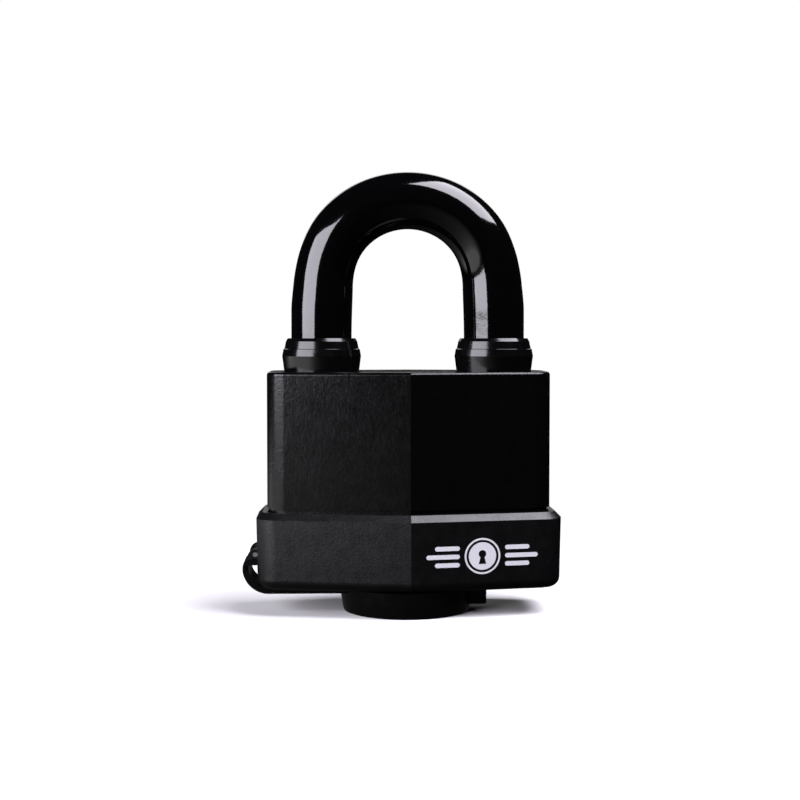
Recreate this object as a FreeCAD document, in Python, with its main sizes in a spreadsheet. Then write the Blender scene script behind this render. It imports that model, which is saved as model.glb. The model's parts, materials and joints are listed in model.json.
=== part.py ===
import FreeCAD, Part
import math
import os
import re

import Sketcher

# A keyed padlock: a stack of steel plates around a pin cylinder, a coated U-shackle held by two
# steel balls, and a weatherproof skin made of a jacket, a lower cover, two shackle seals and a
# keyway cap on a tether. Millimetres. X runs along the width, Y from the front to the back and
# Z upwards. The origin is on the plug's axis, level with the keyway cap's flat bottom.

DOC = FreeCAD.newDocument("covered_padlock")
SHEET = DOC.addObject("Spreadsheet::Sheet", "sizes")

SIZES = {
    # every plan outline: two facets meet at a ridge, front and back, and the ends are flat
    "facet_angle": 10.5,
    "edge_break": 0.4,
    # lower cover
    "cover_floor": 5.1,
    "cover_top": 19.6,
    "cover_half": 28.76,
    "cover_ridge": 13.95,
    "cover_draft": 0.95,
    "cover_corner": 4.4,
    "cover_bevel": 1.2,
    "cover_bottom_round": 2.0,
    "cover_cavity_half": 26.75,
    "cover_cavity_ridge": 11.85,
    "cover_cavity_corner": 2.6,
    "cover_wall_floor": 2.0,
    "keyway_hole_radius": 9.2,
    # tether lugs on the lower cover's left end
    "lug_x": -28.9,
    "lug_level": 10.6,
    "lug_radius": 1.9,
    "lug_root": 1.0,
    "lug_gap": 8.2,
    "lug_span": 10.2,
    "lug_recess_x": -27.85,
    "lug_recess_floor": 8.8,
    "tether_pin_x": -29.3,
    "tether_pin_level": 11.4,
    "tether_pin_radius": 0.45,
    "tether_pin_length": 10.0,
    # jacket
    "jacket_half": 26.95,
    "jacket_ridge": 12.2,
    "jacket_corner": 4.0,
    "jacket_top": 46.1,
    "jacket_top_wall": 1.5,
    "jacket_top_round": 0.7,
    "skirt_top": 20.35,
    "skirt_half": 26.45,
    "skirt_ridge": 11.7,
    "skirt_corner": 3.5,
    "skirt_floor": 7.15,
    "cavity_half": 25.1,
    "cavity_ridge": 10.1,
    "cavity_corner": 3.0,
    "seal_hole_radius": 6.4,
    # plate stack
    "plate_half": 25.0,
    "plate_ridge": 10.0,
    "plate_corner": 3.1,
    "plate_gauge": 2.2,
    "stack_floor": 7.15,
    "leg_hole_radius": 4.95,
    "cylinder_hole_radius": 8.5,
    "nose_hole_radius": 7.5,
    "tail_hole_radius": 3.6,
    "chamber_radius": 6.8,
    "channel_half": 3.3,
    # rivets
    "rivet_x": 10.5,
    "rivet_y": 5.3,
    "rivet_radius": 1.6,
    "rivet_hole_radius": 1.65,
    "rivet_head_radius": 2.1,
    "rivet_recess_radius": 2.2,
    "rivet_head": 1.1,
    # shackle
    "leg_x": 16.6,
    "core_radius": 4.75,
    "coat_radius": 5.75,
    "bow_level": 61.95,
    "coat_end": 44.75,
    "toe_end": 33.8,
    "toe_chamfer": 0.8,
    "foot_end": 14.0,
    "foot_top": 15.6,
    "relief_top": 22.3,
    "heel_relief_radius": 3.5,
    "heel_neck_radius": 4.0,
    "notch_radius": 3.42,
    # shackle seals
    "seal_bore_radius": 5.87,
    "seal_neck_radius": 6.35,
    "seal_foot_radius": 7.2,
    "seal_crease_radius": 7.57,
    "seal_step_outer": 7.34,
    "seal_step_inner": 7.14,
    "seal_lip_radius": 6.85,
    "seal_crest_radius": 6.5,
    "seal_crease": 2.9,
    "seal_step": 4.2,
    "seal_step_top": 4.3,
    "seal_lip": 5.7,
    "seal_crest": 6.3,
    # pin cylinder
    "shell_radius": 8.4,
    "shell_nose_radius": 7.4,
    "shell_floor": 7.3,
    "shell_shoulder": 9.4,
    "shell_top": 26.85,
    "bore_radius": 4.55,
    "plug_radius": 4.5,
    "plug_head_radius": 5.2,
    "plug_head": 0.9,
    "keyway_half": 1.1,
    "keyway_back": -3.5,
    "keyway_front": 2.6,
    "chamber_bore_radius": 1.35,
    "pin_radius": 1.28,
    "pin_tip_radius": 0.55,
    "pin_tip": 0.6,
    "first_pin_level": 11.0,
    "pin_pitch": 3.4,
    "pin_end_bevel": 0.15,
    "key_pin_top": 4.35,
    "driver_start": 4.62,
    "driver_end": 6.2,
    "driver_neck_radius": 0.7,
    "driver_neck": 0.5,
    "driver_rim": 0.5,
    "strip_start": 7.75,
    "strip_end": 8.1,
    "strip_half": 1.8,
    "strip_overhang": 1.5,
    "pin_spring_radius": 0.95,
    "pin_spring_wire": 0.16,
    "pin_spring_pitch": 0.48,
    # plug tail and cam
    "tail_radius": 3.0,
    "tail_end": 35.85,
    "tongue_reach": 2.6,
    "tongue_half": 1.1,
    "tongue_top": 38.4,
    "cam_floor": 35.9,
    "cam_top": 42.1,
    "cam_slot_top": 38.5,
    "cam_toe_radius": 5.125,
    "cam_heel_radius": 5.925,
    "cam_lobe_radius": 6.595,
    # running clearances
    "slip": 0.05,
    "close_slip": 0.01,
    # locking balls, in the key's open position
    "ball_radius": 3.175,
    "ball_level": 39.0,
    "toe_ball_x": 8.4,
    "heel_ball_x": 9.2,
    "locked_ball_x": 9.87,
    # shackle spring
    "spring_radius": 3.55,
    "spring_wire": 0.5,
    "spring_pitch": 1.35,
    "spring_floor": 9.9,
    "spring_length": 3.5,
    # keyway cap and tether
    "cap_x": -0.3,
    "cap_top": 4.95,
    "cap_rim_radius": 12.75,
    "cap_side_radius": 12.6,
    "cap_side": 2.6,
    "cap_face_radius": 12.15,
    "cap_edge_round": 0.4,
    "cap_floor": 1.6,
    "cap_hollow_radius": 7.0,
    "spigot_radius": 8.3,
    "spigot_top": 6.9,
    "tab_end": 15.0,
    "tab_root": 10.0,
    "tab_half": 4.2,
    "tab_floor": 1.5,
    "tab_top": 4.2,
    "tab_round": 1.2,
    "tether_bend_x": -26.65,
    "tether_bend_level": 8.9,
    "tether_bend_radius": 4.475,
    "tether_crook_radius": 0.825,
    "tether_gauge": 1.15,
    "tether_half": 5.0,
    "tether_neck_half": 3.95,
    "tether_start": -11.0,
    "tether_end": -28.8,
    "shoulder_floor": 8.2,
    "shoulder_top": 9.1,
    "eye_radius": 0.95,
    "eye_hole_radius": 0.5,
    "eye_web": 1.1,
}

PLATES = 17  # the stack's plates, counted from the bottom
CYLINDER_PLATES = range(2, 10)  # plates bored for the whole pin cylinder
TAIL_PLATES = range(10, 14)  # plates bored for the plug's tail only
BALL_PLATES = range(14, 17)  # plates cut for the cam and the balls
TOE_HOLE_FROM = 13  # the toe leg ends inside this plate
PINS = 5
KEY_PIN_STARTS = (1.5, 1.9, 1.2, 1.7, 1.35)  # where each key pin's tip lies, from the plug's axis
CAM_STEPS = 6  # points to each quarter of the cam's spiral
LEVEL_TOLERANCE = 0.001
LEAST_CUT = 1e-6  # the smallest volume that counts as cut away


# ---- sheet and expressions ----


def fill_sheet():
    for row, (alias, size) in enumerate(SIZES.items(), 1):
        SHEET.set(f"A{row}", alias)
        SHEET.set(f"B{row}", str(size))
        SHEET.setAlias(f"B{row}", alias)
    DOC.recompute()


def formula(text):
    """The text as an expression: each word that is an alias is read from the sheet."""
    return re.sub(r"[a-z_]+", lambda word: f"sizes.{word[0]}" if word[0] in SIZES else word[0], str(text))


def number(text):
    return float(SHEET.evalExpression(formula(text)))


def bind(made, **texts):
    for name, text in texts.items():
        made.setExpression(name.replace("__", "."), formula(text))


# ---- sketches ----


def new_body(name):
    body = DOC.addObject("PartDesign::Body", name)
    body.Label = name
    return body


def new_sketch(body, name, plane="XY_Plane", offset="0", shift="0"):
    """A sketch on one of the body's own planes, moved along its normal and along its own x."""
    made = body.newObject("Sketcher::SketchObject", name)
    support = [feature for feature in body.Origin.OriginFeatures if feature.Role == plane][0]
    made.AttachmentSupport = [(support, "")]
    made.MapMode = "FlatFace"
    bind(made, AttachmentOffset__Base__z=offset, AttachmentOffset__Base__x=shift)
    return made


def hold(made, geometry, point, x, y):
    """Ties a point of the sketch's geometry to x and y, measured from the sketch's origin."""
    for kind, text in (("DistanceX", x), ("DistanceY", y)):
        at = made.addConstraint(Sketcher.Constraint(kind, -1, 1, geometry, point, number(text)))
        made.setExpression(f"Constraints[{at}]", formula(text))


def hold_level(made, geometry, point, y):
    at = made.addConstraint(Sketcher.Constraint("DistanceY", -1, 1, geometry, point, number(y)))
    made.setExpression(f"Constraints[{at}]", formula(y))


def vector(x, y, z="0"):
    return FreeCAD.Vector(number(x), number(y), number(z))


def add_polygon(made, corners):
    first = made.GeometryCount
    count = len(corners)
    for n, corner in enumerate(corners):
        following = corners[(n + 1) % count]
        made.addGeometry(Part.LineSegment(vector(*corner), vector(*following)), False)
    for n in range(count):
        meets = first + (n + 1) % count
        made.addConstraint(Sketcher.Constraint("Coincident", first + n, 2, meets, 1))
    for n, corner in enumerate(corners):
        hold(made, first + n, 1, *corner)


def add_circle(made, x, y, radius):
    circle = Part.Circle(vector(x, y), FreeCAD.Vector(0, 0, 1), number(radius))
    at = made.addGeometry(circle, False)
    hold(made, at, 3, x, y)
    held = made.addConstraint(Sketcher.Constraint("Radius", at, number(radius)))
    made.setExpression(f"Constraints[{held}]", formula(radius))


def plan_corners(half, ridge):
    """The six corners of a ridged plan outline, given its half width and half depth."""
    end = f"{ridge} - ({half}) * tan(facet_angle)"
    return [
        (f"-({half})", f"-({end})"),
        ("0", f"-({ridge})"),
        (half, f"-({end})"),
        (half, end),
        ("0", ridge),
        (f"-({half})", end),
    ]


def box_corners(x_low, x_high, y_low, y_high):
    return [(x_low, y_low), (x_high, y_low), (x_high, y_high), (x_low, y_high)]


# ---- features ----


def pad(body, name, profile, length, draft="0", both_ways=False):
    made = body.newObject("PartDesign::Pad", name)
    made.Profile = profile
    made.Midplane = both_ways
    bind(made, Length=length, TaperAngle=draft)
    return made


def pocket(body, name, profile, depth=None, upward=True, both_ways=False):
    """Cuts from the sketch upward or downward, to a depth, or right through if there is none."""
    made = body.newObject("PartDesign::Pocket", name)
    made.Profile = profile
    made.Reversed = upward
    made.Midplane = both_ways
    if depth is None:
        made.Type = "ThroughAll"
    else:
        bind(made, Length=depth)
    return made


def turn(body, name, corners, axis_x="0", kind="PartDesign::Revolution"):
    """Turns an outline of (radius, level) corners about the upright line at axis_x."""
    profile = new_sketch(body, f"{name}_profile", "XZ_Plane", shift=axis_x)
    add_polygon(profile, corners)
    made = body.newObject(kind, name)
    made.Profile = profile
    made.ReferenceAxis = (profile, ["V_Axis"])
    made.Angle = 360
    return made


def dress(body, name, size, chosen, kind="Fillet"):
    """Rounds or bevels the edges of the body's last feature that the test chooses."""
    DOC.recompute()
    base = body.Tip
    names = [f"Edge{n}" for n, edge in enumerate(base.Shape.Edges, 1) if chosen(edge)]
    made = body.newObject(f"PartDesign::{kind}", name)
    made.Base = (base, names)
    bind(made, **{"Radius" if kind == "Fillet" else "Size": size})
    return made


def is_upright(edge):
    run = edge.Vertexes[-1].Point - edge.Vertexes[0].Point
    return run.Length > 0.5 and abs(run.z) > 0.99 * run.Length


def at_corner(edge):
    return is_upright(edge) and abs(edge.Vertexes[0].Point.x) > 1


def at_ridge(edge):
    return is_upright(edge) and abs(edge.Vertexes[0].Point.x) < 1


def at_level(text):
    level = number(text)
    return lambda edge: abs(edge.BoundBox.Center.z - level) + edge.BoundBox.ZLength < LEVEL_TOLERANCE


def between(low, high, chosen):
    """Narrows a test to the edges that run between two levels."""
    bottom, top = number(low) - LEVEL_TOLERANCE, number(high) + LEVEL_TOLERANCE
    return lambda edge: chosen(edge) and edge.BoundBox.ZMin > bottom and edge.BoundBox.ZMax < top


# ---- weatherproof skin ----


def make_lower_cover():
    body = new_body("lower_cover")
    outline = new_sketch(body, "cover_outline", offset="cover_floor")
    add_polygon(outline, plan_corners("cover_half", "cover_ridge"))
    pad(body, "cover_block", outline, "cover_top - cover_floor", draft="cover_draft")
    dress(body, "cover_corners", "cover_corner", at_corner)
    dress(body, "cover_bottom_edge", "cover_bottom_round", at_level("cover_floor"))
    dress(body, "cover_rim_bevel", "cover_bevel", at_level("cover_top"), kind="Chamfer")
    dress(body, "cover_ridges", "edge_break", at_ridge)
    add_lugs(body)
    add_cover_openings(body)
    return body


def add_lugs(body):
    """A half-round knuckle on the cover's left end, flat underneath and rooted in the wall."""
    outline = new_sketch(body, "lug_outline", "XZ_Plane")
    root, crest = "lug_x + lug_root", "lug_level + lug_radius"
    top, side = vector("lug_x", crest), vector("lug_x - lug_radius", "lug_level")
    middle = vector("lug_x - lug_radius * sin(45)", "lug_level + lug_radius * sin(45)")
    outline.addGeometry(Part.Arc(top, middle, side), False)
    outline.addGeometry(Part.LineSegment(side, vector(root, "lug_level")), False)
    outline.addGeometry(Part.LineSegment(vector(root, "lug_level"), vector(root, crest)), False)
    outline.addGeometry(Part.LineSegment(vector(root, crest), top), False)
    outline.addConstraint(Sketcher.Constraint("Coincident", 0, 2, 1, 1))
    outline.addConstraint(Sketcher.Constraint("Coincident", 1, 2, 2, 1))
    outline.addConstraint(Sketcher.Constraint("Coincident", 2, 2, 3, 1))
    outline.addConstraint(Sketcher.Constraint("Coincident", 3, 2, 0, 1))
    hold(outline, 0, 3, "lug_x", "lug_level")
    hold_level(outline, 0, 1, crest)
    hold_level(outline, 1, 1, "lug_level")
    hold(outline, 2, 1, root, "lug_level")
    hold(outline, 2, 2, root, crest)
    pad(body, "lugs", outline, "lug_span", both_ways=True)


def add_cover_openings(body):
    cavity = new_sketch(body, "cover_cavity_outline", offset="cover_floor + cover_wall_floor")
    add_polygon(cavity, plan_corners("cover_cavity_half", "cover_cavity_ridge"))
    pocket(body, "cover_cavity", cavity, "cover_top - cover_floor")
    inside = between("cover_floor + cover_wall_floor", "cover_top", at_cavity_corner)
    dress(body, "cover_cavity_corners", "cover_cavity_corner", inside)
    hole = new_sketch(body, "keyway_hole_outline", offset="cover_floor - 1")
    add_circle(hole, "0", "0", "keyway_hole_radius")
    pocket(body, "keyway_hole", hole, "cover_wall_floor + 2")
    recess = new_sketch(body, "lug_recess_outline", "XZ_Plane")
    crest = "lug_level + lug_radius + slip"
    corners = box_corners("lug_x - 2 * lug_radius", "lug_recess_x", "lug_recess_floor", crest)
    add_polygon(recess, corners)
    pocket(body, "lug_recess", recess, "lug_gap", both_ways=True)
    bore = new_sketch(body, "tether_pin_bore_outline", "XZ_Plane")
    add_circle(bore, "tether_pin_x", "tether_pin_level", "tether_pin_radius")
    pocket(body, "tether_pin_bore", bore, both_ways=True)


def at_cavity_corner(edge):
    """An upright edge at the corner of the lower cover's cavity."""
    place = edge.Vertexes[0].Point
    return at_corner(edge) and abs(abs(place.x) - number("cover_cavity_half")) < 0.01


def make_tether_pin():
    body = new_body("tether_pin")
    outline = new_sketch(body, "tether_pin_outline", "XZ_Plane")
    add_circle(outline, "tether_pin_x", "tether_pin_level", "tether_pin_radius - close_slip")
    pad(body, "tether_pin_rod", outline, "tether_pin_length", both_ways=True)
    return body


def make_jacket():
    body = new_body("jacket")
    skirt = new_sketch(body, "skirt_outline", offset="skirt_floor")
    add_polygon(skirt, plan_corners("skirt_half", "skirt_ridge"))
    pad(body, "skirt_block", skirt, "skirt_top - skirt_floor")
    dress(body, "skirt_corners", "skirt_corner", at_corner)
    shell = new_sketch(body, "jacket_outline", offset="skirt_top")
    add_polygon(shell, plan_corners("jacket_half", "jacket_ridge"))
    pad(body, "jacket_block", shell, "jacket_top - skirt_top")
    upper = between("skirt_top", "jacket_top", at_corner)
    dress(body, "jacket_corners", "jacket_corner", upper)
    dress(body, "jacket_top_edge", "jacket_top_round", at_level("jacket_top"))
    dress(body, "jacket_ridges", "edge_break", between("skirt_top", "jacket_top", at_ridge))
    cavity = new_sketch(body, "jacket_cavity_outline", offset="skirt_floor - 1")
    add_polygon(cavity, plan_corners("cavity_half", "cavity_ridge"))
    pocket(body, "jacket_cavity", cavity, "jacket_top - jacket_top_wall - skirt_floor + 1")
    dress(body, "jacket_cavity_corners", "cavity_corner", at_jacket_cavity_corner)
    holes = new_sketch(body, "seal_hole_outlines", offset="jacket_top - jacket_top_wall - 1")
    add_circle(holes, "leg_x", "0", "seal_hole_radius")
    add_circle(holes, "-leg_x", "0", "seal_hole_radius")
    pocket(body, "seal_holes", holes)
    return body


def at_jacket_cavity_corner(edge):
    """An upright edge at the corner of the jacket's cavity."""
    place = edge.Vertexes[0].Point
    return at_corner(edge) and abs(abs(place.x) - number("cavity_half")) < 0.01


def make_seal(name, leg):
    """A rubber collar: a short neck in the jacket's hole under a bulged, stepped ring."""
    body = new_body(name)
    turn(body, f"{name}_ring", [
        ("seal_bore_radius", "jacket_top - jacket_top_wall"),
        ("seal_neck_radius", "jacket_top - jacket_top_wall"),
        ("seal_neck_radius", "jacket_top"),
        ("seal_foot_radius", "jacket_top"),
        ("seal_crease_radius", "jacket_top + seal_crease"),
        ("seal_step_outer", "jacket_top + seal_step"),
        ("seal_step_inner", "jacket_top + seal_step_top"),
        ("seal_lip_radius", "jacket_top + seal_lip"),
        ("seal_crest_radius", "jacket_top + seal_crest"),
        ("seal_bore_radius", "jacket_top + seal_crest"),
    ], axis_x=leg)
    return body


# ---- plate stack ----


def make_plate(place):
    """One stamped plate. Its holes depend on its place in the stack."""
    name = f"plate_{place:02d}"
    floor = f"stack_floor + {place - 1} * plate_gauge"
    body = new_body(name)
    outline = new_sketch(body, f"{name}_outline", offset=floor)
    add_polygon(outline, plan_corners("plate_half", "plate_ridge"))
    pad(body, f"{name}_blank", outline, "plate_gauge")
    dress(body, f"{name}_corners", "plate_corner", at_corner)
    holes = new_sketch(body, f"{name}_hole_outlines", offset=floor)
    for x, y in rivet_places():
        add_circle(holes, x, y, "rivet_hole_radius")
    if place > 1:
        add_circle(holes, "-leg_x", "0", "leg_hole_radius")
    if place >= TOE_HOLE_FROM:
        add_circle(holes, "leg_x", "0", "leg_hole_radius")
    centre_hole = centre_hole_radius(place)
    if centre_hole:
        add_circle(holes, "0", "0", centre_hole)
    pocket(body, f"{name}_holes", holes)
    if place in BALL_PLATES:
        channel = new_sketch(body, f"{name}_channel_outline", offset=floor)
        add_polygon(channel, box_corners("-leg_x", "leg_x", "-channel_half", "channel_half"))
        pocket(body, f"{name}_channel", channel)
    if place in (1, PLATES):
        upper = f"{floor} + plate_gauge - rivet_head - slip"
        add_rivet_recesses(body, name, floor if place == 1 else upper)
    return body


def centre_hole_radius(place):
    if place == 1:
        return "nose_hole_radius"
    if place in CYLINDER_PLATES:
        return "cylinder_hole_radius"
    if place in TAIL_PLATES:
        return "tail_hole_radius"
    if place in BALL_PLATES:
        return "chamber_radius"
    return None


def add_rivet_recesses(body, name, floor):
    recesses = new_sketch(body, f"{name}_recess_outlines", offset=floor)
    for x, y in rivet_places():
        add_circle(recesses, x, y, "rivet_recess_radius")
    pocket(body, f"{name}_recesses", recesses, "rivet_head + slip")


def rivet_places():
    return [(f"{x}rivet_x", f"{y}rivet_y") for x in ("-", "") for y in ("-", "")]


def make_rivets():
    """Four rivets that clamp the stack, each a shank with a head at both ends."""
    rivets = []
    stack = f"{PLATES} * plate_gauge"
    for n, (x, y) in enumerate(rivet_places(), 1):
        levels = {
            "shank": ("rivet_radius", "stack_floor", stack),
            "foot": ("rivet_head_radius", "stack_floor", "rivet_head"),
            "head": ("rivet_head_radius", f"stack_floor + {stack} - rivet_head", "rivet_head"),
        }
        rods = []
        for kind, (radius, floor, length) in levels.items():
            rod = DOC.addObject("Part::Cylinder", f"rivet_{kind}_{n}")
            bind(rod, Radius=radius, Height=length)
            bind(rod, Placement__Base__x=x, Placement__Base__y=y, Placement__Base__z=floor)
            rods.append(rod)
        rivet = DOC.addObject("Part::MultiFuse", f"rivet_{n}")
        rivet.Shapes = rods
        rivets.append(rivet)
    group = DOC.addObject("Part::Compound", "rivets")
    group.Links = rivets
    group.Label = "rivets"
    return group


# ---- shackle ----


def add_bow(body, name, radius, left_end, right_end):
    """A round bar along two upright legs and the half circle that joins them."""
    path = new_sketch(body, f"{name}_path", "XZ_Plane")
    left_foot, left_top = vector("-leg_x", left_end), vector("-leg_x", "bow_level")
    right_top, right_foot = vector("leg_x", "bow_level"), vector("leg_x", right_end)
    crown = vector("0", "bow_level + leg_x")
    path.addGeometry(Part.LineSegment(left_foot, left_top), False)
    path.addGeometry(Part.Arc(right_top, crown, left_top), False)
    path.addGeometry(Part.LineSegment(right_top, right_foot), False)
    # the arc runs anticlockwise, so its first point is the right-hand one
    path.addConstraint(Sketcher.Constraint("Coincident", 0, 2, 1, 2))
    path.addConstraint(Sketcher.Constraint("Coincident", 1, 1, 2, 1))
    hold(path, 0, 1, "-leg_x", left_end)
    hold(path, 0, 2, "-leg_x", "bow_level")
    hold(path, 2, 1, "leg_x", "bow_level")
    hold(path, 2, 2, "leg_x", right_end)
    hold_level(path, 1, 3, "bow_level")
    section = new_sketch(body, f"{name}_section", offset=left_end)
    add_circle(section, "-leg_x", "0", radius)
    made = body.newObject("PartDesign::AdditivePipe", name)
    made.Profile = section
    made.Spine = (path, ["Edge1", "Edge2", "Edge3"])
    return made


def make_shackle_core():
    """The hardened bar: a long turned neck on the heel leg and a ball notch in the toe leg."""
    body = new_body("shackle_core")
    add_bow(body, "core_bar", "core_radius", "foot_end", "toe_end")
    notch_low, notch_high = "ball_level - channel_half", "ball_level + channel_half"
    turn(body, "heel_neck", [
        ("heel_relief_radius", "foot_top"),
        ("2 * core_radius", "foot_top"),
        ("2 * core_radius", notch_high),
        ("heel_relief_radius", notch_high),
        ("heel_relief_radius", notch_low),
        ("heel_neck_radius", notch_low),
        ("heel_neck_radius", "relief_top"),
        ("heel_relief_radius", "relief_top"),
    ], axis_x="-leg_x", kind="PartDesign::Groove")
    notch = body.newObject("PartDesign::SubtractiveSphere", "toe_notch")
    bind(notch, Radius="notch_radius")
    bind(notch, Placement__Base__x="locked_ball_x", Placement__Base__z="ball_level")
    dress(body, "toe_chamfer", "toe_chamfer", at_level("toe_end"), kind="Chamfer")
    dress(body, "foot_chamfer", "toe_chamfer / 2", at_level("foot_end"), kind="Chamfer")
    return body


def make_shackle_coat():
    """The thick plastic coat moulded on the bar, from just above the plates over the bow."""
    body = new_body("shackle_coat")
    add_bow(body, "coat_bar", "coat_radius", "coat_end", "coat_end")
    hollow_the_coat(body)
    return body


def hollow_the_coat(body):
    """Takes the bar's space out of the coat, along the path that the coat itself follows."""
    spine = body.Tip.Spine
    section = new_sketch(body, "coat_hollow_section", offset="coat_end")
    add_circle(section, "-leg_x", "0", "core_radius")
    made = body.newObject("PartDesign::SubtractivePipe", "coat_hollow")
    made.Profile = section
    made.Spine = spine


# ---- cylinder, plug and pins ----


def make_cylinder_shell():
    body = new_body("cylinder_shell")
    turn(body, "shell_turning", [
        ("plug_head_radius + slip", "shell_floor"),
        ("shell_nose_radius", "shell_floor"),
        ("shell_nose_radius", "shell_shoulder"),
        ("shell_radius", "shell_shoulder"),
        ("shell_radius", "shell_top"),
        ("bore_radius", "shell_top"),
        ("bore_radius", "shell_floor + plug_head + slip"),
        ("plug_head_radius + slip", "shell_floor + plug_head + slip"),
    ])
    chambers = new_sketch(body, "chamber_outlines", "XZ_Plane")
    for level in pin_levels():
        add_circle(chambers, "0", level, "chamber_bore_radius")
    pocket(body, "chambers", chambers, upward=False)
    slot = new_sketch(body, "strip_slot_outline", offset="first_pin_level - strip_overhang - slip")
    half = "strip_half + slip"
    add_polygon(slot, box_corners(f"-({half})", half, "strip_start - slip", "shell_radius + 1"))
    pocket(body, "strip_slot", slot, f"{PINS - 1} * pin_pitch + 2 * (strip_overhang + slip)")
    return body


def pin_levels():
    return [f"first_pin_level + {n} * pin_pitch" for n in range(PINS)]


def make_spring_cover():
    """The flat brass strip that closes the pin chambers over their springs."""
    body = new_body("spring_cover")
    outline = new_sketch(body, "spring_cover_outline", offset="first_pin_level - strip_overhang")
    add_polygon(outline, box_corners("-strip_half", "strip_half", "strip_start", "strip_end"))
    pad(body, "spring_cover_strip", outline, f"{PINS - 1} * pin_pitch + 2 * strip_overhang")
    return body


def lay_along(body, level, angle):
    """Lays an upright piece down at a pin's level, pointing outward at an angle from +X."""
    lying = FreeCAD.Rotation(FreeCAD.Vector(0, 1, 0), 90)
    turned = FreeCAD.Rotation(FreeCAD.Vector(0, 0, 1), angle)
    body.Placement = FreeCAD.Placement(FreeCAD.Vector(), turned.multiply(lying))
    bind(body, Placement__Base__z=level)


def make_key_pin(place, level, start):
    """A key pin. The plug is in its open position, so the pins point along +X."""
    body = new_body(f"key_pin_{place}")
    turn(body, f"key_pin_{place}_rod", [
        ("0", str(start)),
        ("pin_tip_radius", str(start)),
        ("pin_radius", f"{start} + pin_tip"),
        ("pin_radius", "key_pin_top - pin_end_bevel"),
        ("pin_radius - 2 * pin_end_bevel", "key_pin_top"),
        ("0", "key_pin_top"),
    ])
    lay_along(body, level, 0)
    return body


def make_driver_pin(place, level):
    """A spool-shaped driver pin, in the shell's chamber along +Y."""
    body = new_body(f"driver_pin_{place}")
    neck_low, neck_high = "driver_start + driver_rim", "driver_start + driver_rim + driver_neck"
    turn(body, f"driver_pin_{place}_rod", [
        ("0", "driver_start"),
        ("pin_radius", "driver_start"),
        ("pin_radius", neck_low),
        ("driver_neck_radius", neck_low),
        ("driver_neck_radius", neck_high),
        ("pin_radius", neck_high),
        ("pin_radius", "driver_end"),
        ("0", "driver_end"),
    ])
    lay_along(body, level, 90)
    return body


def add_coil(body, name, radius, wire, pitch, start, length):
    section = new_sketch(body, f"{name}_section", "XZ_Plane")
    add_circle(section, radius, f"{start} + {wire}", wire)
    made = body.newObject("PartDesign::AdditiveHelix", name)
    made.Profile = section
    made.ReferenceAxis = (section, ["V_Axis"])
    made.Mode = 0
    bind(made, Pitch=pitch, Height=f"{length} - 2 * {wire}")
    return made


def make_pin_spring(place, level):
    body = new_body(f"pin_spring_{place}")
    length = "strip_start - driver_end - 2 * slip"
    add_coil(body, f"pin_coil_{place}", "pin_spring_radius", "pin_spring_wire",
             "pin_spring_pitch", "driver_end + slip", length)
    lay_along(body, level, 90)
    return body


def make_plug():
    """The turning plug, with its keyway, pin bores, head and the tail that drives the cam."""
    body = new_body("plug")
    turn(body, "plug_turning", [
        ("0", "shell_floor"),
        ("plug_head_radius", "shell_floor"),
        ("plug_head_radius", "shell_floor + plug_head"),
        ("plug_radius", "shell_floor + plug_head"),
        ("plug_radius", "shell_top"),
        ("tail_radius", "shell_top"),
        ("tail_radius", "tail_end"),
        ("0", "tail_end"),
    ])
    tongue = new_sketch(body, "tongue_outline", offset="tail_end - 1")
    add_polygon(tongue, box_corners("-tongue_reach", "tongue_reach", "-tongue_half", "tongue_half"))
    pad(body, "tongue", tongue, "tongue_top - tail_end + 1")
    keyway = new_sketch(body, "keyway_outline", offset="shell_floor - 1")
    corners = box_corners("keyway_back", "keyway_front", "-keyway_half", "keyway_half")
    add_polygon(keyway, corners)
    pocket(body, "keyway", keyway, "shell_top - shell_floor - 1")
    bores = new_sketch(body, "pin_bore_outlines", "YZ_Plane", offset="1")
    for level in pin_levels():
        add_circle(bores, "0", level, "chamber_bore_radius")
    pocket(body, "pin_bores", bores, "plug_radius + 1")
    return body


def cam_quarter(start_radius, end_radius, quarter):
    """A quarter turn of an even spiral from one radius to the other."""
    points = []
    for step in range(CAM_STEPS + 1):
        share = step / CAM_STEPS
        angle = math.pi / 2 * (quarter + share)
        radius = start_radius + (end_radius - start_radius) * share
        points.append(FreeCAD.Vector(radius * math.cos(angle), radius * math.sin(angle), 0))
    curve = Part.BSplineCurve()
    curve.interpolate(points)
    return curve.toShape()


def make_cam():
    """The cam on the plug's tail: two even spirals that push the balls out as it turns."""
    toe, heel = number("cam_toe_radius"), number("cam_heel_radius")
    lobe = number("cam_lobe_radius")
    radii = [(toe, lobe), (lobe, heel), (heel, lobe), (lobe, toe)]
    outline = Part.Wire([cam_quarter(*pair, quarter) for quarter, pair in enumerate(radii)])
    height = number("cam_top - cam_floor")
    blank = Part.Face(outline).extrude(FreeCAD.Vector(0, 0, height))
    reach, half = number("tongue_reach + slip"), number("tongue_half + slip")
    depth = number("cam_slot_top - cam_floor")
    slot = Part.makeBox(2 * reach, 2 * half, depth, FreeCAD.Vector(-reach, -half, 0))
    cam = DOC.addObject("Part::Feature", "cam")
    cam.Shape = blank.cut(slot)
    cam.Placement = FreeCAD.Placement(vector("0", "0", "cam_floor"), FreeCAD.Rotation())
    cam.Label = "cam"
    return cam


def make_ball(name, x):
    ball = DOC.addObject("Part::Sphere", name)
    bind(ball, Radius="ball_radius", Placement__Base__x=x, Placement__Base__z="ball_level")
    ball.Label = name
    return ball


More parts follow.
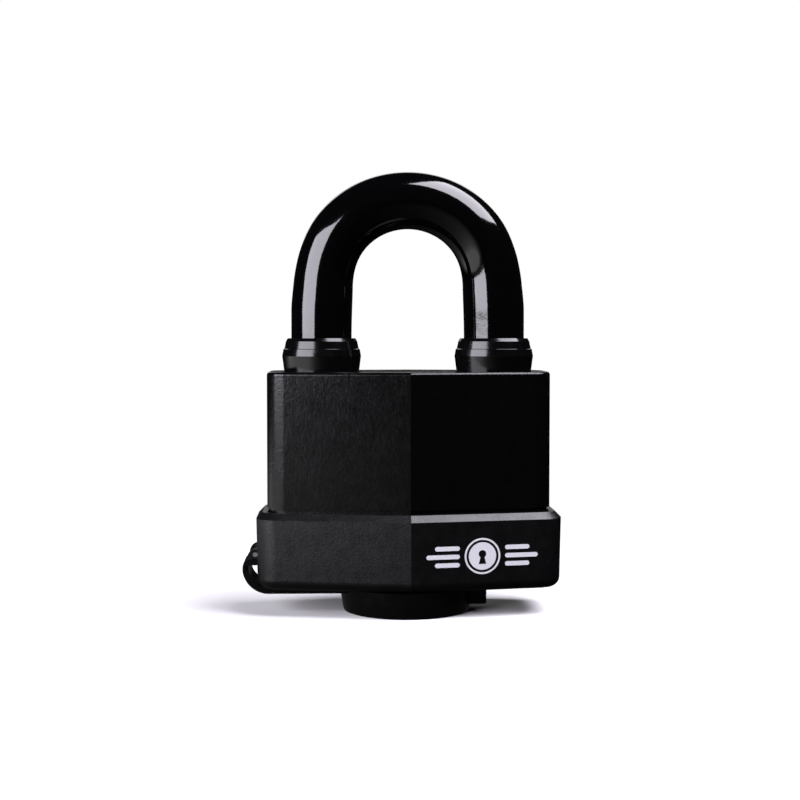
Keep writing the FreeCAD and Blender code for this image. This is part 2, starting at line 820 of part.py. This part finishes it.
def make_shackle_spring():
    body = new_body("shackle_spring")
    profile = new_sketch(body, "shackle_coil_section", "XZ_Plane", shift="-leg_x")
    add_circle(profile, "spring_radius", "spring_floor", "spring_wire")
    made = body.newObject("PartDesign::AdditiveHelix", "shackle_coil")
    made.Profile = profile
    made.ReferenceAxis = (profile, ["V_Axis"])
    made.Mode = 0
    bind(made, Pitch="spring_pitch", Height="spring_length")
    return body


# ---- keyway cap and tether ----


def make_keyway_cap():
    """One rubber moulding: a shallow cup with a spigot, a tab for a finger, and the tether."""
    body = new_body("keyway_cap")
    turn(body, "cap_turning", [
        ("0", "0"),
        ("cap_face_radius", "0"),
        ("cap_side_radius", "cap_side"),
        ("cap_rim_radius", "cap_top"),
        ("spigot_radius", "cap_top"),
        ("spigot_radius", "spigot_top"),
        ("cap_hollow_radius", "spigot_top"),
        ("cap_hollow_radius", "cap_floor"),
        ("0", "cap_floor"),
    ], axis_x="cap_x")
    dress(body, "cap_bottom_edge", "cap_edge_round", at_level("0"))
    tab = new_sketch(body, "tab_outline", offset="tab_floor")
    add_polygon(tab, box_corners("tab_root", "tab_end", "-tab_half", "tab_half"))
    pad(body, "tab", tab, "tab_top - tab_floor")
    dress(body, "tab_corners", "tab_round", lambda edge: is_upright(edge) and at_tab_end(edge))
    add_tether_strap(body)
    add_tether_shoulders(body)
    add_tether_eye(body)
    return body


def at_tab_end(edge):
    return edge.BoundBox.XMin > number("tab_end") - LEVEL_TOLERANCE


def add_tether_strap(body):
    """The strap: it runs under the lower cover, bends up round its corner and crooks back in."""
    floor = "tether_bend_level - tether_bend_radius"
    side = "tether_bend_x - tether_bend_radius"
    crook_x = f"{side} + tether_crook_radius"
    crest = "tether_bend_level + tether_crook_radius"
    path = new_sketch(body, "tether_path", "XZ_Plane")
    start, foot = vector("tether_start", floor), vector("tether_bend_x", floor)
    elbow, top = vector(side, "tether_bend_level"), vector(crook_x, crest)
    path.addGeometry(Part.LineSegment(start, foot), False)
    path.addGeometry(Part.Arc(elbow, arc_middle("tether_bend_x", "tether_bend_radius", 225), foot), False)
    path.addGeometry(Part.Arc(top, arc_middle(crook_x, "tether_crook_radius", 135), elbow), False)
    path.addGeometry(Part.LineSegment(top, vector("tether_end", crest)), False)
    # each arc runs anticlockwise, so it starts at its end that is nearer the eye
    path.addConstraint(Sketcher.Constraint("Coincident", 0, 2, 1, 2))
    path.addConstraint(Sketcher.Constraint("Coincident", 1, 1, 2, 2))
    path.addConstraint(Sketcher.Constraint("Coincident", 2, 1, 3, 1))
    hold(path, 0, 1, "tether_start", floor)
    hold(path, 0, 2, "tether_bend_x", floor)
    hold(path, 1, 3, "tether_bend_x", "tether_bend_level")
    hold_level(path, 1, 1, "tether_bend_level")
    hold(path, 3, 1, crook_x, crest)
    hold(path, 3, 2, "tether_end", crest)
    hold_level(path, 2, 3, "tether_bend_level")
    section = new_sketch(body, "tether_section", "YZ_Plane", offset="tether_start")
    under, over = f"{floor} - tether_gauge / 2", f"{floor} + tether_gauge / 2"
    add_polygon(section, box_corners("-tether_half", "tether_half", under, over))
    strap = body.newObject("PartDesign::AdditivePipe", "tether_strap")
    strap.Profile = section
    strap.Spine = (path, ["Edge1", "Edge2", "Edge3", "Edge4"])


def arc_middle(centre_x, radius, angle):
    """A point of the tether's arc, by its angle from +X. Both arcs share one centre level."""
    turned = math.radians(angle)
    reach = FreeCAD.Vector(math.cos(turned), math.sin(turned), 0) * number(radius)
    return vector(centre_x, "tether_bend_level") + reach


def add_tether_shoulders(body):
    """Narrows the strap's upper end to a neck that fits between the lugs."""
    for name, side in (("front", "-"), ("back", "")):
        outline = new_sketch(body, f"{name}_shoulder_outline", "YZ_Plane", offset="tether_pin_x")
        outer, neck, top = f"{side}(tether_half + 1)", f"{side}tether_neck_half", "tether_pin_level"
        add_polygon(outline, [
            (outer, "shoulder_floor"),
            (f"{side}tether_half", "shoulder_floor"),
            (neck, "shoulder_top"),
            (neck, top),
            (outer, top),
        ])
        pocket(body, f"{name}_shoulder", outline, both_ways=True)


def add_tether_eye(body):
    """The eye round the tether pin, and the web that joins it to the strap's end."""
    web = new_sketch(body, "eye_web_outline", "XZ_Plane")
    crest = "tether_bend_level + tether_crook_radius"
    corners = box_corners("tether_end - eye_web", "tether_end", crest, "tether_pin_level - eye_hole_radius")
    add_polygon(web, corners)
    pad(body, "eye_web", web, "2 * tether_neck_half", both_ways=True)
    eye = new_sketch(body, "eye_outline", "XZ_Plane")
    add_circle(eye, "tether_pin_x", "tether_pin_level", "eye_radius")
    pad(body, "eye", eye, "2 * tether_neck_half", both_ways=True)
    hole = new_sketch(body, "eye_hole_outline", "XZ_Plane")
    add_circle(hole, "tether_pin_x", "tether_pin_level", "eye_hole_radius")
    pocket(body, "eye_hole", hole, both_ways=True)


# ---- the whole lock ----


def make_pin_stacks():
    pieces = []
    for place, (level, start) in enumerate(zip(pin_levels(), KEY_PIN_STARTS), 1):
        pieces.append(make_key_pin(place, level, start))
        pieces.append(make_driver_pin(place, level))
        pieces.append(make_pin_spring(place, level))
    return pieces


def make_all():
    skin = [
        make_lower_cover(),
        make_tether_pin(),
        make_jacket(),
        make_seal("heel_seal", "-leg_x"),
        make_seal("toe_seal", "leg_x"),
    ]
    stack = [make_plate(place) for place in range(1, PLATES + 1)] + [make_rivets()]
    shackle = [make_shackle_core(), make_shackle_coat(), make_shackle_spring()]
    lock = [make_cylinder_shell(), make_spring_cover(), make_plug(), make_cam()]
    balls = [make_ball("toe_ball", "toe_ball_x"), make_ball("heel_ball", "-heel_ball_x")]
    return skin + stack + shackle + lock + make_pin_stacks() + balls + [make_keyway_cap()]


def check(pieces):
    DOC.recompute()
    for made in DOC.Objects:
        if "Invalid" in made.State or "Error" in made.State:
            raise RuntimeError(f"{made.Name} is {made.State}")
        base = getattr(made, "BaseFeature", None)
        cuts = made.TypeId in ("PartDesign::Pocket", "PartDesign::Groove", "PartDesign::SubtractivePipe")
        if cuts and base is not None and made.Shape.Volume > base.Shape.Volume - LEAST_CUT:
            raise RuntimeError(f"{made.Name} cuts nothing")
    for piece in pieces:
        if piece.Shape.isNull() or not piece.Shape.isValid() or not piece.Shape.Solids:
            raise RuntimeError(f"{piece.Label} has no valid solid")


def write(pieces):
    os.makedirs("parts", exist_ok=True)
    for piece in pieces:
        piece.Shape.exportStep(f"parts/{piece.Label}.step")


fill_sheet()
PIECES = make_all()
check(PIECES)
write(PIECES)
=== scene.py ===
import json
import math

import bmesh
import bpy
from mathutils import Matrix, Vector

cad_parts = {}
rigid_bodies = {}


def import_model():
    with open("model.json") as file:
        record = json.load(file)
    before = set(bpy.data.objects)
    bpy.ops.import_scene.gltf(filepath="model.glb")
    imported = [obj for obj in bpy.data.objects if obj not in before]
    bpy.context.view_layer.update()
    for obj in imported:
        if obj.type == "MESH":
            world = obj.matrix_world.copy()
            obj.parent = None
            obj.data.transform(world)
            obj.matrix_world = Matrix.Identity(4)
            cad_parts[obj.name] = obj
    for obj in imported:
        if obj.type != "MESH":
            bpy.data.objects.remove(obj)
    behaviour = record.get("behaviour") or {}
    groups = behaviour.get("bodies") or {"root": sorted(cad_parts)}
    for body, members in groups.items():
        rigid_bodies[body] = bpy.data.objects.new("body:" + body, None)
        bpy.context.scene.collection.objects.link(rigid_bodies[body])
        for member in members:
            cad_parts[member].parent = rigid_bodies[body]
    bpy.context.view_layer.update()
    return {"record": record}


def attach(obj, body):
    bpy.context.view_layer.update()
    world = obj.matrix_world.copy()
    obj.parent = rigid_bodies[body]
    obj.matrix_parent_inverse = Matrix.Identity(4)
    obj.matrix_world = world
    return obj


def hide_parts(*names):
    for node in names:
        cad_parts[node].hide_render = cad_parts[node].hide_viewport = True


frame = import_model()

MM = 0.001


# ---- camera ----


def make_camera():
    """Eye and lens: a little to the lock's left and above its middle, tipped slightly down."""
    heading, pitch = math.radians(2.39), math.radians(2.555)
    data = bpy.data.cameras.new("camera")
    data.sensor_width = 36.0
    data.lens = 66.5
    data.clip_start = 0.01
    data.clip_end = 20.0
    camera = bpy.data.objects.new("camera", data)
    camera.location = Vector((-13.4, -284.7, 53.2)) * MM
    camera.rotation_euler = (math.pi / 2 - pitch, 0.0, -heading)
    bpy.context.collection.objects.link(camera)
    bpy.context.scene.camera = camera


# ---- node helpers ----


def new_tree(name):
    """A new material, its node tree and its shader."""
    material = bpy.data.materials.new(name)
    material.use_nodes = True
    tree = material.node_tree
    return material, tree, tree.nodes["Principled BSDF"]


def add_node(tree, kind, settings=None, **inputs):
    """A node with its properties set, and its inputs given as values or as other nodes' sockets."""
    made = tree.nodes.new(kind)
    for name, setting in (settings or {}).items():
        setattr(made, name, setting)
    for name, value in inputs.items():
        socket = made.inputs[name.replace("_", " ")]
        if isinstance(value, bpy.types.NodeSocket):
            tree.links.new(value, socket)
        else:
            socket.default_value = value
    return made


def object_point(tree, stretch=(1, 1, 1)):
    """The point in the lock's own frame, in metres, scaled to stretch what is drawn with it."""
    place = add_node(tree, "ShaderNodeTexCoord").outputs["Object"]
    return add_node(tree, "ShaderNodeMapping", Vector=place, Scale=stretch).outputs["Vector"]


def noise(tree, place, size, detail=3.0, roughness=0.5):
    """Soft noise from 0 to 1 whose patches are about the given size, in metres."""
    made = add_node(tree, "ShaderNodeTexNoise", Vector=place, Scale=1 / size, Detail=detail,
                    Roughness=roughness)
    return made.outputs["Fac"]


def spread(tree, socket, low, high, start=0.3, end=0.7):
    """Maps a value between start and end to one between low and high."""
    made = add_node(tree, "ShaderNodeMapRange", Value=socket)
    for name, value in (("From Min", start), ("From Max", end), ("To Min", low), ("To Max", high)):
        made.inputs[name].default_value = value
    return made.outputs["Result"]


def blend_colours(tree, factor, first, second):
    """A colour that goes from the first to the second as the factor goes from 0 to 1."""
    made = add_node(tree, "ShaderNodeMix", {"data_type": "RGBA"}, Factor=factor)
    made.inputs["A"].default_value = (*first, 1)
    made.inputs["B"].default_value = (*second, 1)
    return made.outputs["Result"]


def maths(tree, operation, first, second=None):
    """The operation on a socket and, where it takes one, a second socket or number."""
    made = add_node(tree, "ShaderNodeMath", {"operation": operation})
    tree.links.new(first, made.inputs[0])
    if isinstance(second, bpy.types.NodeSocket):
        tree.links.new(second, made.inputs[1])
    elif second is not None:
        made.inputs[1].default_value = second
    return made.outputs["Value"]


def length(tree, socket):
    made = add_node(tree, "ShaderNodeVectorMath", {"operation": "LENGTH"})
    tree.links.new(socket, made.inputs[0])
    return made.outputs["Value"]


def mix_shaders(tree, factor, first, second):
    made = add_node(tree, "ShaderNodeMixShader", Fac=factor)
    tree.links.new(first, made.inputs[1])
    tree.links.new(second, made.inputs[2])
    return made.outputs["Shader"]


def bump(tree, height, distance, below=None):
    """Relief of the given depth, in metres, on top of the relief below."""
    made = add_node(tree, "ShaderNodeBump", Height=height, Distance=distance, Strength=1.0)
    if below is not None:
        tree.links.new(below, made.inputs["Normal"])
    return made.outputs["Normal"]


# ---- materials ----


def make_polymer(name, smooth, rough, shine):
    """Satin black moulded thermoplastic: fine spark-eroded grain, faint drag marks, rubbed patches."""
    material, tree, shader = new_tree(name)
    place = object_point(tree)
    drag = noise(tree, object_point(tree, (1, 1, 0.12)), 0.5 * MM, 2.0)
    patches = noise(tree, place, 2.4 * MM, 5.0, 0.65)
    grain = noise(tree, place, 0.3 * MM, 2.0)
    colour = blend_colours(tree, patches, (0.0009, 0.0009, 0.001), (0.0018, 0.0018, 0.0019))
    tree.links.new(colour, shader.inputs["Base Color"])
    rubbed = maths(tree, "ADD", spread(tree, patches, smooth, rough), spread(tree, drag, -0.015, 0.02))
    tree.links.new(rubbed, shader.inputs["Roughness"])
    mottle = bump(tree, noise(tree, place, 0.7 * MM, 4.0, 0.7), 0.03 * MM)
    lower = bump(tree, drag, 0.004 * MM, below=mottle)
    tree.links.new(bump(tree, grain, 0.016 * MM, below=lower), shader.inputs["Normal"])
    shader.inputs["Specular IOR Level"].default_value = shine
    return material


def make_gloss_coat():
    """Dipped black vinyl on the shackle: wet-looking, with a faint orange peel and fine scuffs."""
    material, tree, shader = new_tree("gloss_coat")
    place = object_point(tree)
    peel = noise(tree, place, 1.6 * MM, 2.0)
    scuffs = noise(tree, object_point(tree, (1, 1, 3)), 0.35 * MM, 3.0, 0.7)
    colour = blend_colours(tree, peel, (0.0005, 0.0005, 0.0006), (0.0009, 0.0009, 0.001))
    tree.links.new(colour, shader.inputs["Base Color"])
    tree.links.new(spread(tree, scuffs, 0.07, 0.13, 0.5, 0.8), shader.inputs["Roughness"])
    tree.links.new(bump(tree, peel, 0.01 * MM), shader.inputs["Normal"])
    shader.inputs["Specular IOR Level"].default_value = 0.5
    return material


def make_rubber():
    """Semi-gloss black elastomer with a soft mottled sheen and fine pores."""
    material, tree, shader = new_tree("black_rubber")
    place = object_point(tree)
    mottle = noise(tree, place, 2.2 * MM, 4.0, 0.6)
    pores = noise(tree, place, 0.12 * MM, 2.0)
    colour = blend_colours(tree, mottle, (0.001, 0.001, 0.0011), (0.002, 0.002, 0.0021))
    tree.links.new(colour, shader.inputs["Base Color"])
    tree.links.new(spread(tree, mottle, 0.1, 0.2), shader.inputs["Roughness"])
    lower = bump(tree, mottle, 0.012 * MM)
    tree.links.new(bump(tree, pores, 0.005 * MM, below=lower), shader.inputs["Normal"])
    shader.inputs["Specular IOR Level"].default_value = 0.4
    return material


def make_metal(name, light, dark, smooth, rough, stretch, size):
    """Bare metal: tool marks drawn out along the stretched axes, with tarnish in soft patches."""
    material, tree, shader = new_tree(name)
    marks = noise(tree, object_point(tree, stretch), size, 3.0, 0.6)
    tarnish = noise(tree, object_point(tree), 3.5 * MM, 4.0, 0.6)
    colour = blend_colours(tree, spread(tree, tarnish, 0, 1), light, dark)
    tree.links.new(colour, shader.inputs["Base Color"])
    shader.inputs["Metallic"].default_value = 1.0
    tree.links.new(spread(tree, marks, smooth, rough), shader.inputs["Roughness"])
    tree.links.new(bump(tree, marks, 0.006 * MM), shader.inputs["Normal"])
    return material


def make_print():
    """The light grey ink of the printed mark, slightly broken over the moulded grain."""
    material, tree, shader = new_tree("printed_ink")
    speckle = noise(tree, object_point(tree), 0.2 * MM, 3.0, 0.7)
    worn = spread(tree, speckle, 0, 1, 0.55, 0.75)
    colour = blend_colours(tree, worn, (0.66, 0.66, 0.7), (0.4, 0.4, 0.43))
    tree.links.new(colour, shader.inputs["Base Color"])
    tree.links.new(spread(tree, speckle, 0.45, 0.65), shader.inputs["Roughness"])
    tree.links.new(bump(tree, speckle, 0.004 * MM), shader.inputs["Normal"])
    return material


def make_metals():
    """Each metal by its slot: light and dark colour, roughness from and to, marks' stretch and size."""
    metals = {
        "plate_steel": ((0.56, 0.56, 0.57), (0.42, 0.42, 0.43), 0.25, 0.42, (0.06, 1, 1), 0.3),
        "hardened_steel": ((0.52, 0.52, 0.54), (0.4, 0.4, 0.42), 0.16, 0.32, (1, 1, 6), 0.5),
        "rivet_steel": ((0.58, 0.58, 0.58), (0.45, 0.45, 0.45), 0.3, 0.45, (1, 1, 1), 0.4),
        "spring_steel": ((0.4, 0.4, 0.42), (0.28, 0.28, 0.3), 0.2, 0.36, (1, 1, 1), 0.2),
        "brass": ((0.79, 0.61, 0.3), (0.6, 0.43, 0.2), 0.22, 0.4, (1, 1, 0.06), 0.3),
    }
    return {
        name: make_metal(name, light, dark, smooth, rough, stretch, size * MM)
        for name, (light, dark, smooth, rough, stretch, size) in metals.items()
    }


def dress_nodes():
    """Gives every CAD node the finish of its slot. The cover is rougher than the jacket."""
    looks = {
        "black_polymer": make_polymer("jacket_polymer", 0.12, 0.19, 0.3),
        "gloss_coat": make_gloss_coat(),
        "black_rubber": make_rubber(),
        **make_metals(),
    }
    for part in frame["record"]["subparts"]:
        dress(bpy.data.objects[part["node"]], looks[part["material_slot"]])
    dress(bpy.data.objects["lower_cover"], make_polymer("cover_polymer", 0.32, 0.4, 0.4))
    return looks


def dress(made, material):
    for slot in made.material_slots:
        slot.material = material


# ---- coat ----


def smooth_step(low, high, value):
    """Rises smoothly from 0 at low to 1 at high."""
    t = min(max((value - low) / (high - low), 0.0), 1.0)
    return t * t * (3 - 2 * t)


def coat_edges(along):
    """How far the coat's outer and inner sides lie from the bow's centre, in millimetres.

    Along is measured up a leg from the level of the bow's centre: the coat is full on the leg, is
    drawn thin over the outside of the bend, and gathers a little inside it where the bend starts.
    """
    outer = 22.4 - 0.63 * smooth_step(-5, 3.5, along)
    outer += 0.22 * smooth_step(5, 11, along) - 0.2 * smooth_step(14, 25.6, along)
    inner = 10.86 - 0.3 * math.exp(-((along - 1.5) / 7) ** 2)
    return outer, inner


def coat_stations():
    """Centre, outward direction and radius of the coat's outside and of its bore, foot to crown."""
    bow_level, bow_radius, foot, lip = 62.45, 16.3, 44.75, 0.35
    bar_x, bar_level, bar_radius = 16.6, 61.95, 4.77
    leg_steps, bend_steps = 24, 48
    leg = foot - bow_level
    along = [leg, leg + 0.1 * lip, leg + 0.4 * lip, leg + lip]
    along += [leg + lip + (-leg - lip) * step / leg_steps for step in range(1, leg_steps)]
    along += [bow_radius * math.pi / 2 * step / bend_steps for step in range(bend_steps + 1)]
    outside, bore = [], []
    for place in along:
        turn = max(place, 0.0) / bow_radius
        out = Vector((math.cos(turn), 0, math.sin(turn)))
        drop = Vector((0, 0, min(place, 0.0)))
        outer, inner = coat_edges(place)
        rise = min(place - leg, lip)
        trim = lip - math.sqrt(lip ** 2 - (lip - rise) ** 2)
        centre = Vector((0, 0, bow_level)) + drop + out * (outer + inner) / 2
        outside.append((centre, out, (outer - inner) / 2 - trim))
        level = bow_level if place < 0 else bar_level
        bore.append((Vector((0, 0, level)) + drop + out * bar_x, out, bar_radius))
    return outside, bore


def mirrored(stations):
    """The stations followed by their mirror images, back down the other leg."""
    flip = Vector((-1, 1, 1))
    other_leg = [(centre * flip, out * flip, radius) for centre, out, radius in stations[-2::-1]]
    return stations + other_leg


def make_coat(material):
    """The plastic coat as it sets on the bent bar: a tube whose wall and width vary on the way."""
    around = 72
    outside, bore = coat_stations()
    rings = mirrored(outside) + mirrored(bore)[::-1]
    points = []
    for centre, out, radius in rings:
        for step in range(around):
            turn = 2 * math.pi * step / around
            arm = out * math.cos(turn) + Vector((0, math.sin(turn), 0))
            points.append((centre + arm * radius) * MM)
    faces = []
    for ring in range(len(rings)):
        near, far = ring * around, (ring + 1) % len(rings) * around
        for step in range(around):
            following = (step + 1) % around
            faces.append((near + step, near + following, far + following, far + step))
    coat = add_piece("coat_moulding", points, faces, material)
    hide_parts("shackle_coat")
    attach(coat, "shackle")


def add_piece(name, points, faces, material):
    """A smooth-shaded closed mesh whose faces look outwards."""
    mesh = bpy.data.meshes.new(name)
    mesh.from_pydata(points, [], faces)
    shape = bmesh.new()
    shape.from_mesh(mesh)
    bmesh.ops.recalc_face_normals(shape, faces=shape.faces)
    shape.to_mesh(mesh)
    shape.free()
    mesh.polygons.foreach_set("use_smooth", [True] * len(mesh.polygons))
    made = bpy.data.objects.new(name, mesh)
    bpy.context.collection.objects.link(made)
    mesh.materials.append(material)
    return made


# ---- printed mark ----


def disc(x, z, radius):
    steps = 48
    turns = [2 * math.pi * step / steps for step in range(steps)]
    return [(x + radius * math.cos(a), z + radius * math.sin(a)) for a in turns]


def bar(left, right, floor, top):
    """A bar with rounded ends."""
    radius, level, steps = (top - floor) / 2, (top + floor) / 2, 10
    arcs = []
    for x, start in ((right - radius, -90), (left + radius, 90)):
        turns = [math.radians(start + 180 * step / steps) for step in range(steps + 1)]
        arcs += [(x + radius * math.cos(a), level + radius * math.sin(a)) for a in turns]
    return arcs


def keyhole(x, z):
    """A round hole over a flared slot."""
    radius, lift, foot, steps = 0.72, 0.4, 1.5, 30
    turns = [math.radians(-58 + 296 * step / steps) for step in range(steps + 1)]
    head = [(x + radius * math.cos(a), z + lift + radius * math.sin(a)) for a in turns]
    return head + [(x - radius, z - foot), (x + radius, z - foot)]


def mark_outlines():
    """A keyhole in a ring between three bars on each side. Outlines inside others are holes."""
    x, z = 13.4, 11.85
    bar_start, half_thickness = 4.3, 0.42
    outlines = [disc(x, z, 2.6), keyhole(x, z), disc(x, z, 3.05), disc(x, z, 3.4)]
    for side in (-1, 1):
        for level, reach in ((1.55, 9.0), (0, 10.6), (-1.55, 9.0)):
            ends = sorted((x + side * bar_start, x + side * reach))
            outlines.append(bar(*ends, z + level - half_thickness, z + level + half_thickness))
    return outlines


def flat_mesh(outlines):
    """The filled outlines as a thin mesh, in millimetres."""
    curve = bpy.data.curves.new("mark_outlines", "CURVE")
    curve.dimensions = "2D"
    curve.fill_mode = "BOTH"
    curve.extrude = 0.02
    for outline in outlines:
        spline = curve.splines.new("POLY")
        spline.points.add(len(outline) - 1)
        for point, (across, up) in zip(spline.points, outline):
            point.co = (across, up, 0, 1)
        spline.use_cyclic_u = True
    flat = bpy.data.objects.new("mark_outlines", curve)
    bpy.context.collection.objects.link(flat)
    bpy.context.view_layer.update()
    mesh = bpy.data.meshes.new_from_object(flat)
    bpy.data.objects.remove(flat)
    return mesh


def make_mark():
    """The plain mark, printed on the cover's right front facet."""
    mesh = flat_mesh(mark_outlines())
    well_in_front, least_lift = -50, 0.01
    cover = bpy.data.objects["lower_cover"]
    for vertex in mesh.vertices:
        across, up, thickness = vertex.co
        start = Vector((across, well_in_front, up)) * MM
        place = cover.ray_cast(start, Vector((0, 1, 0)))[1]
        vertex.co = place - Vector((0, (thickness + least_lift) * MM, 0))
    mark = bpy.data.objects.new("front_mark", mesh)
    bpy.context.collection.objects.link(mark)
    mesh.materials.clear()
    mesh.materials.append(make_print())
    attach(mark, "lock_body")


# ---- floor and light ----


def make_floor():
    """A round white table top that takes the lock's soft contact shadow."""
    radius, steps = 1.5, 96
    turns = [2 * math.pi * step / steps for step in range(steps)]
    rim = [(radius * math.cos(a), radius * math.sin(a), 0) for a in turns]
    mesh = bpy.data.meshes.new("floor")
    mesh.from_pydata(rim, [], [range(steps)])
    mesh.materials.append(make_table_top())
    floor = bpy.data.objects.new("floor", mesh)
    bpy.context.collection.objects.link(floor)


def make_table_top():
    """White to the camera, fading into the white surroundings away from the lock. Every other ray
    finds it dark but for a painted pool of light that the floor emits itself, so that the lock's gloss
    stays black."""
    material, tree, shader = new_tree("table_top")
    shader.inputs["Base Color"].default_value = (0.86, 0.86, 0.86, 1)
    shader.inputs["Roughness"].default_value = 0.9
    shader.inputs["Specular IOR Level"].default_value = 0.1
    place = add_node(tree, "ShaderNodeTexCoord").outputs["Object"]
    fade = spread(tree, length(tree, place), 0.0, 1.0, 0.06, 0.14)
    white = add_node(tree, "ShaderNodeEmission", Color=(1, 1, 1, 1), Strength=1.0)
    near = mix_shaders(tree, fade, shader.outputs["BSDF"], white.outputs["Emission"])
    painted_glow_strength = painted_light_pool(tree, place)
    # painted pool of light: the floor emits this glow in reflections, no lamp lights it
    painted_gleam = add_node(tree, "ShaderNodeEmission", Color=(1, 0.98, 1, 1), Strength=painted_glow_strength)
    path = add_node(tree, "ShaderNodeLightPath")
    seen = mix_shaders(tree, path.outputs["Is Camera Ray"], painted_gleam.outputs["Emission"], near)
    tree.links.new(seen, tree.nodes["Material Output"].inputs["Surface"])
    return material


def painted_light_pool(tree, place):
    """How brightly the floor glows in the gloss: a painted pool of light on the lock's left, emitted by
    the floor itself and not lit by a lamp, that dies away around.
    """
    falloff, peak, brightest = -28.0, 110.0, 1.5
    shifted = add_node(tree, "ShaderNodeMapping", Vector=place, Location=(0.28, 0.084, 0),
                       Scale=(1, 0.7, 1)).outputs["Vector"]
    decay = maths(tree, "EXPONENT", maths(tree, "MULTIPLY", length(tree, shifted), falloff))
    return maths(tree, "MINIMUM", maths(tree, "MULTIPLY", decay, peak), brightest)


def make_world():
    """White to the camera and dim to every other ray, so that only the softboxes and the floor's
    painted pool of light shine in the lock's gloss."""
    world = bpy.data.worlds.new("studio")
    bpy.context.scene.world = world
    world.use_nodes = True
    tree = world.node_tree
    path = add_node(tree, "ShaderNodeLightPath")
    mixed = add_node(tree, "ShaderNodeMix", {"data_type": "RGBA"}, Factor=path.outputs["Is Camera Ray"])
    mixed.inputs["A"].default_value = (0.008, 0.008, 0.009, 1)
    mixed.inputs["B"].default_value = (1, 1, 1, 1)
    tree.links.new(mixed.outputs["Result"], tree.nodes["Background"].inputs["Color"])
    bpy.context.scene.view_settings.view_transform = "Standard"


def softbox(name, azimuth, elevation, away, width, height, radiance, colour=(1, 1, 1)):
    """A panel facing the lock's middle. Azimuth is from the front towards the left, in degrees, and
    away, width and height are in metres."""
    side, rise = math.radians(azimuth), math.radians(elevation)
    centre = Vector((0, 0, 45)) * MM
    flat = Vector((-math.sin(side), -math.cos(side), 0)) * math.cos(rise)
    place = centre + (flat + Vector((0, 0, math.sin(rise)))) * away
    data = bpy.data.lights.new(name, "AREA")
    data.shape = "RECTANGLE"
    data.size = width
    data.size_y = height
    data.energy = radiance * math.pi * width * height
    data.color = colour
    light = bpy.data.objects.new(name, data)
    light.location = place
    light.rotation_euler = (centre - place).to_track_quat("-Z", "Y").to_euler()
    light.visible_camera = False
    bpy.context.collection.objects.link(light)


def make_lights():
    """Two bright softboxes, at the lower left and the upper right, and a weak one behind the lock."""
    lavender = (0.93, 0.9, 1.0)
    softbox("left_softbox", 52.5, 15.5, 0.55, 0.515, 0.32, 11.0, lavender)
    softbox("overhead", -68, 58, 0.45, 0.37, 0.33, 13.0, lavender)
    softbox("back_softbox", 180, 24, 0.6, 0.45, 0.24, 1.4)


make_camera()
make_floor()
make_world()
make_lights()
finishes = dress_nodes()
make_coat(finishes["gloss_coat"])
make_mark()
